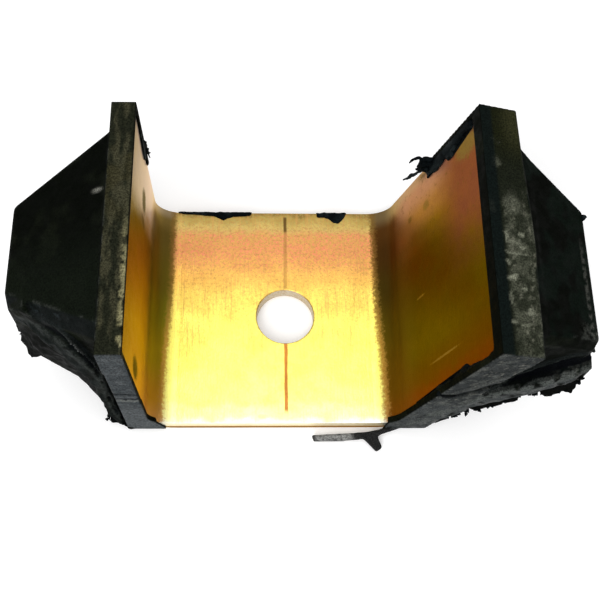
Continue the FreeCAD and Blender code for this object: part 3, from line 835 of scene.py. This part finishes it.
def strand(points, radii, seed, flatness=0.45):
    """A flattened shred of rubber along a few points in the part's frame, in mm."""
    line = drawn_out(points, LENGTHWISE)
    line = line + shake(line, seed, 3.0, 0.25) + shake(line, seed + 1, 1.1, 0.2)
    wide = np.interp(np.linspace(0, 1, LENGTHWISE), np.linspace(0, 1, len(radii)), radii)
    rings = []
    for i, (centre, r) in enumerate(zip(line, wide)):
        ahead = Vector(line[min(i + 1, LENGTHWISE - 1)] - line[max(i - 1, 0)]).normalized()
        side = ahead.cross(Vector((0, 0, 1))).normalized()
        lift = side.cross(ahead).normalized()
        turns = [2 * math.pi * k / AROUND for k in range(AROUND)]
        rings.append([Vector(centre) + side * r * math.cos(a) + lift * r * flatness * math.sin(a)
                      for a in turns])
    return lofted(rings)


def on_arm(arm):
    """Places (along, up, height) on the arm's inner face."""
    return lambda p: arm.place(np.stack([-p[:, 2], p[:, 0], p[:, 1]], -1))


def on_web(p):
    """Places (x, along, height) on the trough's floor."""
    return np.stack([p[:, 0], p[:, 1], SHEET + p[:, 2]], -1)


print("films have a point every", BORDER_STEP, "mm of their border")

# %% Flash of the left moulding
left_flash = [
    film(on_web, [(-33, 34.3), (-27, 33.9), (-24.0, 33.6), (-22.0, 33.4), (-19.0, 32.0), (-16.2, 33.3),
                  (-10.6, 33.6), (-10.2, 34.9), (-33, 34.9)], 0.35, 2.0, 0.2),
    film(on_arm(left_arm), [(34.3, 56), (33.3, 48), (32.2, 41), (31.8, 36.5), (33.2, 34.0), (34.9, 37),
                            (34.9, 57)], 0.5, 4.0, 0.3),
    strand(left_arm.place([(-0.3, 34.4, 44), (-0.6, 34.9, 39.5), (-0.9, 35.1, 35.5), (-1.0, 35.2, 32.0)]),
           (0.5, 0.6, 0.7, 0.25), 7.0),
]
print("flash on the left:", len(left_flash), "pieces")

# %% Flash of the right moulding
BACK_EDGE = [(34.9, 58), (31.0, 58), (32.4, 53.5), (31.0, 50.0), (30.4, 47.0), (28.8, 45.6), (29.2, 43.8),
             (31.0, 42.3), (30.2, 39.0), (30.3, 35.6), (31.0, 33.0), (30.8, 31.0), (33.2, 29.6), (34.9, 30.0)]
FRONT_EDGE = [(-33.2, 56), (-31.2, 52), (-31.0, 47.0), (-29.6, 44.6), (-31.0, 42.2), (-31.2, 34.0),
              (-30.6, 29.0), (-31.6, 22.0), (-31.2, 15.0), (-32.0, 11.0), (-33.2, 10.0)]
RAGS = [
    ([(-0.3, 33.2, 35.0), (-1.6, 33.8, 34.2), (-2.6, 34.2, 32.0), (-2.6, 34.4, 30.2)],
     (1.0, 1.3, 1.2, 0.5), 8.0, 0.5),
    ([(-0.3, 33.0, 33.0), (-1.3, 33.6, 31.6), (-1.8, 34.2, 29.8), (-2.4, 34.6, 28.4)],
     (1.3, 1.5, 0.9, 0.3), 14.0, 0.6),
    ([(-0.4, 33.6, 36.0), (-1.6, 34.4, 35.4), (-2.8, 35.0, 33.6), (-2.7, 35.2, 31.2)],
     (0.6, 0.9, 0.8, 0.4), 15.5, 0.4),
    ([(-2.2, 34.2, 33.4), (-3.8, 34.8, 33.9), (-5.0, 35.0, 33.0), (-5.4, 35.0, 30.6)],
     (0.7, 0.55, 0.5, 0.3), 8.8, 0.45),
    ([(-0.5, 33.6, 31.4), (-1.2, 34.3, 28.0), (-1.9, 34.9, 24.0), (-2.6, 35.2, 20.4)],
     (0.7, 0.45, 0.85, 0.25), 9.5, 0.45),
]
right_flash = [
    film(on_web, [(10.0, 34.9), (10.0, 33.3), (13.5, 32.9), (15.6, 31.3), (16.8, 31.2), (18.9, 33.4),
                  (19.4, 34.9)], 0.35, 5.0, 0.25),
    film(on_arm(right_arm), BACK_EDGE, 0.6, 6.0, 0.6),
    film(on_arm(right_arm), FRONT_EDGE, 0.5, 9.0, 0.4),
]
right_flash += [strand(right_arm.place(points), *rest) for points, *rest in RAGS]
corner_nib = [(76.6, 10.4, 48.4), (77.9, 10.5, 49.2), (78.8, 10.8, 49.6)]
right_flash.append(strand(corner_nib, (1.5, 1.0, 0.35), 12.0))
print("flash on the right:", len(right_flash), "pieces")

# %% [markdown]
# Where rubber tears it leaves small blunt crumbs along the border. They repeat along a line, with only their
# size and lean changing, so a small Geometry Nodes tree makes them: it puts a short blunt cone on every point
# of a resampled border, turns and scales each one by seeded noise, and hands back one plain mesh. The border
# lies a little under the skin, so every crumb is rooted in the moulding.


# %% The tree that makes crumbs
def crumb_tree(finish):
    tree = bpy.data.node_groups.new("crumbs_on_a_tear", "GeometryNodeTree")
    sockets = {}
    tree.interface.new_socket("Geometry", in_out="INPUT", socket_type="NodeSocketGeometry")
    for name, kind, value in (
            ("Spacing", "NodeSocketFloat", 3.6 * MM), ("Length", "NodeSocketFloat", 0.9 * MM),
            ("Root radius", "NodeSocketFloat", 0.7 * MM), ("Tip radius", "NodeSocketFloat", 0.22 * MM),
            ("Seed", "NodeSocketInt", 1)):
        socket = tree.interface.new_socket(name, in_out="INPUT", socket_type=kind)
        socket.default_value = value
        sockets[name] = socket.identifier
    tree.interface.new_socket("Geometry", in_out="OUTPUT", socket_type="NodeSocketGeometry")
    g = Tree(tree)
    given = g.add("NodeGroupInput").outputs
    line = g.add("GeometryNodeMeshToCurve", {0: given["Geometry"]})
    even = g.add("GeometryNodeResampleCurve", {"Curve": line}, mode="LENGTH")
    g.feed(even.inputs["Length"], given["Spacing"])
    crumb = g.add("GeometryNodeMeshCone", {
        "Vertices": 6, "Radius Top": given["Tip radius"], "Radius Bottom": given["Root radius"],
        "Depth": given["Length"]}, fill_type="NGON")

    def scattered(low, high):
        value = g.add("FunctionNodeRandomValue", data_type="FLOAT_VECTOR")
        value.inputs[0].default_value, value.inputs[1].default_value = low, high
        g.feed(value.inputs["Seed"], given["Seed"])
        return value.outputs[0]

    stand = g.add("GeometryNodeInstanceOnPoints", {
        "Points": even, "Instance": crumb, "Rotation": scattered((-2.6, -1.6, -3.0), (2.6, 1.6, 3.0)),
        "Scale": scattered((0.5, 0.35, 0.3), (1.5, 0.8, 1.5))})
    plain = g.add("GeometryNodeRealizeInstances", {0: stand})
    coat = g.add("GeometryNodeSetMaterial", {"Geometry": plain})
    coat.inputs["Material"].default_value = finish
    g.add("NodeGroupOutput", {0: coat})
    return tree, sockets


print("crumbs stand 3.6 mm apart")


# %% Crumbs along one border
WIDEST_STEP = 1.0


def crumbs(points, tree, sockets, length, seed, name):
    """A plain mesh of crumbs on a line of points in mm; the line is broken wherever it jumps."""
    data = bpy.data.meshes.new(name)
    steps = np.linalg.norm(np.diff(points, axis=0), axis=1)
    edges = [(i, i + 1) for i, step in enumerate(steps) if step < WIDEST_STEP]
    data.from_pydata([tuple(p * MM) for p in points], edges, [])
    thing = bpy.data.objects.new(name, data)
    bpy.context.scene.collection.objects.link(thing)
    grow = thing.modifiers.new("crumbs", "NODES")
    grow.node_group = tree
    grow[sockets["Length"]] = length * MM
    grow[sockets["Seed"]] = seed
    applied(thing)
    print(name, "has", len(thing.data.polygons), "faces")
    return thing


# %% [markdown]
# ## Black rubber, painted
# The rubber is black, but it never reads as one black: the flat lips are grey, partly scuffed and partly
# painted sheen, the faces turned to the front carry painted light, the grooves and hollows are painted dark
# as shade, the corners are rubbed and the top is dusty. That pattern belongs to places on this one part, so
# each corner of the fine mesh is given its own colour, and the finish only adds grain too small for the mesh.

# %% Rubber finish
rubber, t, rubber_shader = new_finish("rubber")
mm = t.millimetres()
paint = t.add("ShaderNodeAttribute", attribute_name="paint").outputs["Color"]
fine = t.grain(mm, 2.6, 4.0, 0.7)
dust = t.grain(mm, 5.0, 2.0, 0.6)
patch = t.grain(mm, 0.35, 3.0, 0.6)
grainy = t.dimmed(paint, t.ramp(fine, 0.32, 0.7, 0.22, 1.05))
powder = t.times(t.ramp(dust, 0.62, 0.72), t.ramp(patch, 0.45, 0.62), 0.35)
grainy = t.mix(powder, grainy, (0.03, 0.033, 0.024))
t.feed(rubber_shader.inputs["Base Color"], grainy)
t.feed(rubber_shader.inputs["Roughness"], t.ramp(patch, 0.35, 0.65, 0.55, 0.8))
rubber_shader.inputs["Specular IOR Level"].default_value = 0.018
relief = {"Strength": 0.3, "Distance": 0.00015, "Height": t.math("ADD", fine, patch)}
t.feed(rubber_shader.inputs["Normal"], t.add("ShaderNodeBump", relief))
print("rubber finish has", len(rubber.node_tree.nodes), "nodes")

# %% [markdown]
# The paint is laid on as a model maker would: a dark base, greys on the faces that show them, some of them
# painted light on faces turned to the front, then grooves in painted shadow, then rubbed corners. Whether a
# corner stands proud is read off the mesh itself: a corner that lies outside the middle of its neighbours,
# along its own normal, is one that hands and tools have rubbed, and a corner in a hollow is painted darker as
# shade. One object holds all that the brush can read at each corner, and lays one colour over another
# through a mask.


# %% Reading the mesh and laying colour
BASE = (0.0014, 0.0022, 0.0010)


def field(points, size, seed, layers=3):
    """Fractal noise from 0 to 1 for each point, with lumps of about `size` mm."""
    moved = points / np.asarray(size, float) + seed
    return np.array([noise.fractal(Vector(p), 0.8, 2.1, layers) for p in moved]) * 0.5 + 0.5


def tree_of(points):
    tree = KDTree(len(points))
    for i, p in enumerate(points):
        tree.insert(Vector(p), i)
    tree.balance()
    return tree


class Skin:
    """One moulding as the brush sees it, in mm; its first `main` corners are the block, the rest is flash."""

    def __init__(self, thing, arm, main):
        self.thing, self.arm, self.main = thing, arm, main
        self.points, self.normals = corners_of(thing), normals_of(thing)
        self.local = arm.read(self.points)
        self.out, self.along, self.up = self.local.T
        self.faces_front, self.faces_up = -self.normals[:, 1], self.normals @ arm.up
        self.coarse = field(self.points, 9.0, 3.1)
        self.medium = field(self.points, 3.2, 8.7)
        self.small = field(self.points, 1.3, 5.5)
        self.brushed = field(self.local, (1.6, 9.0, 3.0), 12.3)
        self.colours = np.tile(np.array(BASE), (len(self.points), 1))

    def lay(self, mask, shade, strength=1.0):
        cover = np.clip(mask, 0, 1)[:, None] * strength
        self.colours += (np.array(shade) - self.colours) * cover

    def proudness(self):
        """How far each corner stands out from its neighbours, in mm; below zero in a hollow."""
        pairs = np.empty(len(self.thing.data.edges) * 2, np.int32)
        self.thing.data.edges.foreach_get("vertices", pairs)
        pairs = pairs.reshape(-1, 2)
        value = self.points
        for _ in range(4):
            total, count = np.zeros_like(value), np.zeros(len(value))
            for a, b in ((0, 1), (1, 0)):
                np.add.at(total, pairs[:, a], value[pairs[:, b]])
                np.add.at(count, pairs[:, a], 1)
            value = total / np.maximum(count, 1)[:, None]
        return ((self.points - value) * self.normals).sum(1)

    def post_top(self):
        tip = self.arm.tip
        return fade(self.faces_up, 0.7, 0.9) * fade(self.up, tip - 1.5, tip - 0.6)

    def post_front(self):
        narrow = self.out < self.arm.post + 1.0
        return fade(self.faces_front, 0.6, 0.85) * fade(-self.along, 32.0, 33.0) * narrow


print("the brush is ready")


# %% Paint: the left post and block
def paint_left_top(s):
    top = s.post_top()
    s.lay(top, (0.017, 0.019, 0.011))
    s.lay(top * fade(s.brushed, 0.45, 0.7), (0.055, 0.053, 0.03))
    s.lay(top * fade(s.coarse, 0.5, 0.7) * fade(s.along, -5, 10), (0.05, 0.045, 0.02), 0.6)
    # A painted glint, yellowish white, along the post's inner edge toward the front, broken up by noise.
    inner_edge_glint = fade(0.9 - s.out, 0, 0.5) * fade(-s.along, -8, 14)
    inner_edge_glint = inner_edge_glint * fade(s.medium, 0.3, 0.5) * fade(s.small, 0.2, 0.45)
    s.lay(top * inner_edge_glint, (0.36, 0.33, 0.17), 0.85)


def paint_left_front(s):
    front = s.post_front()
    ragged = 2 * (s.small - 0.5)
    # The front face is painted lighter blue-grey as painted light where it faces the front, lighter still
    # toward the bottom, with a pale line at 24 mm up and a dark one just above it.
    s.lay(front, (0.05, 0.058, 0.062))
    s.lay(front * fade(s.medium, 0.45, 0.75), (0.075, 0.084, 0.088))
    s.lay(front * fade(20 - s.up, 0, 6), (0.10, 0.11, 0.115), 0.8)
    s.lay(front * fade(1.2 - np.abs(s.up - 24.0 - ragged), 0, 0.8), (0.16, 0.17, 0.16), 0.8)
    s.lay(front * fade(0.8 - np.abs(s.up - 25.6 - ragged), 0, 0.6), (0.006, 0.008, 0.01), 0.9)


def paint_left_block(s):
    on_block = s.out > s.arm.post
    # The bevel, facing up and to the front, gets a painted sheen of lighter blue-grey, in patches.
    bevel = fade(s.faces_front, 0.3, 0.5) * fade(s.faces_up, 0.2, 0.4) * on_block * (s.along < 0)
    s.lay(bevel, (0.0045, 0.0065, 0.006))
    s.lay(bevel * fade(s.medium, 0.58, 0.75), (0.02, 0.026, 0.028), 0.6)
    from_chip = np.linalg.norm((s.local - (8.0, 10.9, 56.5)) * (0.45, 1.0, 0.3), axis=1)
    s.lay(fade(1.0 - from_chip, 0, 0.8) * fade(s.medium, 0.3, 0.5), (0.22, 0.22, 0.19), 0.9)
    s.lay(fade(s.faces_up, 0.4, 0.7) * on_block * fade(-s.along, -6, 14), (0.006, 0.009, 0.005), 0.8)


print("left: top, front, bevel and a chip")

# %% [markdown]
# The right post's top is scuffed in separate smudges, where something was dragged over it. Each is a soft
# patch at (out, along) with its own half sizes and strength, and noise makes its border ragged.


# %% Paint: the right post and block
SMUDGES = [
    ((3.3, -2.2), (0.9, 2.2), 0.8), ((7.6, -2.0), (1.1, 0.9), 0.7), ((7.3, -4.6), (0.9, 0.9), 0.8),
    ((5.6, -3.6), (2.4, 0.6), 0.4), ((6.0, -6.7), (4.4, 0.55), 0.6), ((3.1, -9.8), (1.2, 1.2), 0.7),
    ((3.8, -13.2), (2.0, 1.1), 0.9), ((6.9, -16.3), (1.0, 0.8), 0.8), ((8.0, -22.3), (1.5, 1.0), 0.7),
    ((3.2, -25.2), (1.0, 1.0), 0.7), ((6.6, -25.4), (3.2, 0.5), 0.4), ((3.0, -18.5), (0.5, 3.5), 0.4),
    ((9.6, -13.0), (0.5, 5.5), 0.3), ((1.9, 24.9), (1.1, 0.4), 0.6), ((3.8, 24.0), (1.0, 0.45), 0.7),
    ((2.6, 18.6), (1.6, 2.2), 0.25), ((0.2, 5.0), (1.2, 2.6), 0.2), ((5.8, 6.5), (3.4, 3.4), 0.25),
]


def paint_right_top(s):
    top = s.post_top()
    s.lay(top, (0.013, 0.016, 0.009))
    scuffed = top * fade(s.out, 2.6, 4.2) * fade(14 - s.along, 0, 14)
    s.lay(scuffed, (0.03, 0.034, 0.022))
    s.lay(scuffed * fade(s.medium, 0.42, 0.68), (0.075, 0.08, 0.056))
    s.lay(scuffed * fade(s.small, 0.55, 0.75) * fade(s.brushed, 0.4, 0.6), (0.2, 0.2, 0.15), 0.5)
    ragged = np.stack([s.out + 1.6 * (s.small - 0.5), s.along + 1.6 * (s.medium - 0.5)], -1)
    for spot, spread, strength in SMUDGES:
        away = np.linalg.norm((ragged - spot) / spread, axis=1)
        s.lay(top * fade(1.0 - away, 0, 0.55), (0.26, 0.27, 0.2), strength)
    s.lay(top * fade(s.along, 14, 28), (0.012, 0.014, 0.004), 0.8)
    s.lay(top * fade(s.along, 18, 30) * fade(s.out, 3, 9), (0.045, 0.045, 0.018), 0.7)
    # Painted shade along the post's inner edge, where the rubber lip lies in the arm's shadow.
    s.lay(top * fade(3.0 - s.out, 0, 1.0), (0.004, 0.008, 0.008), 0.85)


def paint_right_front(s):
    front = s.post_front()
    # The front face is painted a lighter blue-grey as painted light where it faces the front, with scuffs on
    # it, and is lighter toward the bottom.
    s.lay(front, (0.028, 0.032, 0.032))
    s.lay(front * fade(s.medium, 0.5, 0.7), (0.07, 0.075, 0.07))
    s.lay(front * fade(s.small, 0.6, 0.75) * fade(s.brushed, 0.45, 0.6), (0.16, 0.16, 0.14), 0.7)
    s.lay(front * fade(26 - s.up, 0, 8), (0.06, 0.067, 0.067), 0.6)


def paint_right_block(s):
    block_top = fade(s.faces_up, 0.5, 0.8) * (s.out > s.arm.post + 0.5)
    s.lay(block_top * fade(s.coarse, 0.4, 0.6), (0.003, 0.007, 0.0045), 0.8)
    seam = fade(0.9 - np.abs(s.out - 29.6), 0, 0.6) * fade(-s.along, -6, 4) * fade(s.small, 0.35, 0.55)
    s.lay(block_top * seam, (0.07, 0.072, 0.062), 0.8)
    corner = fade(s.out, 24, 29) * fade(-s.along, 19, 23) * fade(s.small, 0.35, 0.6)
    s.lay(block_top * corner, (0.065, 0.07, 0.06), 0.8)


print("right:", len(SMUDGES), "smudges on the post's top")

# %% [markdown]
# Each corner of the apron knows how deep it lies between the rows: 0 on the brow, 1 in the groove, 2 and 3 on
# the lip, 5 on the hem. That is read from the nearest point of the apron's own face, and the shades follow
# it: painted sheen on the brow, painted shadow in the grooves, grey lips of scuffs and painted sheen with a
# painted highlight on their edge, black hem.


# %% Paint: the aprons, their wear, and painted shade and sheen
# For each side: the painted sheen of the lips, and their lighter streaks, partly scuffs and partly painted
# sheen.
LIP_SHEEN = {"left": (0.005, 0.0075, 0.0065), "right": (0.06, 0.066, 0.066)}
LIP_SCUFF_AND_SHEEN = {"left": (0.016, 0.02, 0.019), "right": (0.13, 0.135, 0.13)}
EDGE_SHINE = {"left": 0.3, "right": 1.0}


def paint_wear_and_hollow_shade(s):
    proud = s.proudness()
    rubbed = fade(proud, 0.05, 0.16) * fade(s.medium, 0.45, 0.65) * fade(s.out, 0.5, 1.5)
    s.lay(rubbed, (0.05, 0.054, 0.048), 0.7)
    # Painted shade: corners that lie in a hollow are darkened.
    s.lay(fade(-proud, 0.05, 0.15), (0.002, 0.0025, 0.003), 0.7)


def paint_apron(s, face, face_depths):
    side = s.arm.name
    tree = tree_of(face)
    near = [tree.find(Vector(p)) for p in s.points[:s.main]]
    rest = [0.0] * (len(s.points) - s.main)
    depth = np.array([face_depths[i] for _, i, _ in near] + rest)
    close = np.array([fade(1.6 - away, 0, 0.6) for _, _, away in near] + rest)
    # Painted sheen on the brow, a lighter blue-grey.
    s.lay(close * fade(0.5 - depth, 0, 0.4), (0.012, 0.015, 0.015), 0.7)
    # Painted shadow in the groove, down to the top of the lip.
    s.lay(close * fade(depth, 0.25, 0.8) * fade(1.9 - depth, 0, 0.4), (0.0015, 0.002, 0.003))
    # The lips get the grey of painted sheen, and streaks of scuffs and painted sheen.
    lip = close * fade(depth, 1.7, 2.1) * fade(3.4 - depth, 0, 0.5)
    s.lay(lip * fade(s.medium, 0.2, 0.55), LIP_SHEEN[side])
    s.lay(lip * fade(s.brushed, 0.55, 0.7), LIP_SCUFF_AND_SHEEN[side], 0.7)
    # A painted highlight along the lip's upper edge.
    lip_edge_highlight = close * fade(0.35 - np.abs(depth - 2.1), 0, 0.25) * fade(s.medium, 0.3, 0.5)
    s.lay(lip_edge_highlight, (0.09, 0.1, 0.09), 0.7 * EDGE_SHINE[side])
    s.lay(close * fade(depth, 3.2, 3.8), (0.003, 0.0035, 0.003))


def paint_creases(s):
    for line, width, depth in CREASES[s.arm.name]:
        # Pressed-in creases are painted dark as painted shadow; raised ones are painted pale as a painted
        # highlight.
        shade = (0.003, 0.004, 0.005) if depth > 0 else (0.09, 0.095, 0.09)
        s.lay(nearness(s.local, line, width), shade, 0.85)


print("lips are", LIP_SHEEN["left"][0], "grey on the left and", LIP_SHEEN["right"][0], "on the right")


# %% Paint: hanging strip and flash
def paint_strip(s):
    """The strip that hangs under the right foot: worn pale along its middle."""
    x, y, z = s.points.T
    hanging = fade(33.6 - x, 0, 1.5) * fade(-y, 33.8, 34.4) * (z < 4)
    s.lay(hanging, (0.03, 0.03, 0.03))
    s.lay(hanging * fade(x, 7.5, 9.5) * fade(20.5 - x, 0, 3.0), (0.33, 0.33, 0.32))
    s.lay(hanging * fade(s.small, 0.5, 0.7), (0.02, 0.02, 0.02), 0.7)


def paint_flash(s):
    flash = np.arange(len(s.points)) >= s.main
    s.lay(flash * 1.0, (0.003, 0.005, 0.006))
    s.lay(flash * fade(s.medium, 0.5, 0.7) * (s.along > 0), (0.02, 0.028, 0.03), 0.7)


POST_AND_BLOCK = {
    "left": (paint_left_top, paint_left_front, paint_left_block),
    "right": (paint_right_top, paint_right_front, paint_right_block),
}


def painted(thing, arm, main):
    s = Skin(thing, arm, main)
    s.lay(fade(s.coarse, 0.45, 0.75), (0.006, 0.008, 0.004), 0.8)
    for coat in POST_AND_BLOCK[arm.name]:
        coat(s)
    paint_wear_and_hollow_shade(s)
    paint_apron(s, *apron_folds[arm.name][:2])
    paint_creases(s)
    if arm is right_arm:
        paint_strip(s)
    paint_flash(s)
    opaque = np.concatenate([s.colours, np.ones((len(s.colours), 1))], 1)
    layer = thing.data.color_attributes.new("paint", "FLOAT_COLOR", "POINT")
    layer.data.foreach_set("color", opaque.astype(np.float32).ravel())
    print(thing.name, "painted,", len(s.points), "corners")


# %% Finish both mouldings
ROOTED, CRUMB_LENGTH, CRUMB_SEED = 0.45, 0.8, 5
tear_tree, tear_sockets = crumb_tree(rubber)
for arm, pieces in ((left_arm, left_flash), (right_arm, right_flash)):
    block = mouldings[arm.name]
    main = len(block.data.vertices)
    skin = tree_of(corners_of(block))
    nearest = [skin.find(Vector(p))[1] for p in apron_folds[arm.name][2]]
    border = corners_of(block)[nearest] - ROOTED * normals_of(block)[nearest]
    rags = crumbs(border, tear_tree, tear_sockets, CRUMB_LENGTH, CRUMB_SEED, arm.name + "_hem_crumbs")
    block = joined([block] + [thing_from(m, "flash") for m in pieces] + [rags], arm.name + "_moulding")
    points = corners_of(block)
    points[:, 2] = np.maximum(points[:, 2], 0.0)
    set_corners(block, points)
    block.data.polygons.foreach_set("use_smooth", [True] * len(block.data.polygons))
    painted(block, arm, main)
    block.data.materials.clear()
    block.data.materials.append(rubber)
    mouldings[arm.name] = block

# %% [markdown]
# ## Hand over
# Each moulding stands in for its solid and moves with the part's one body. The box of the solids is read
# once, at the start.

# %% Attach the mouldings to the body and hide their solids
for name, block in mouldings.items():
    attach(block, "root")
    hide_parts(name + "_rubber_block")
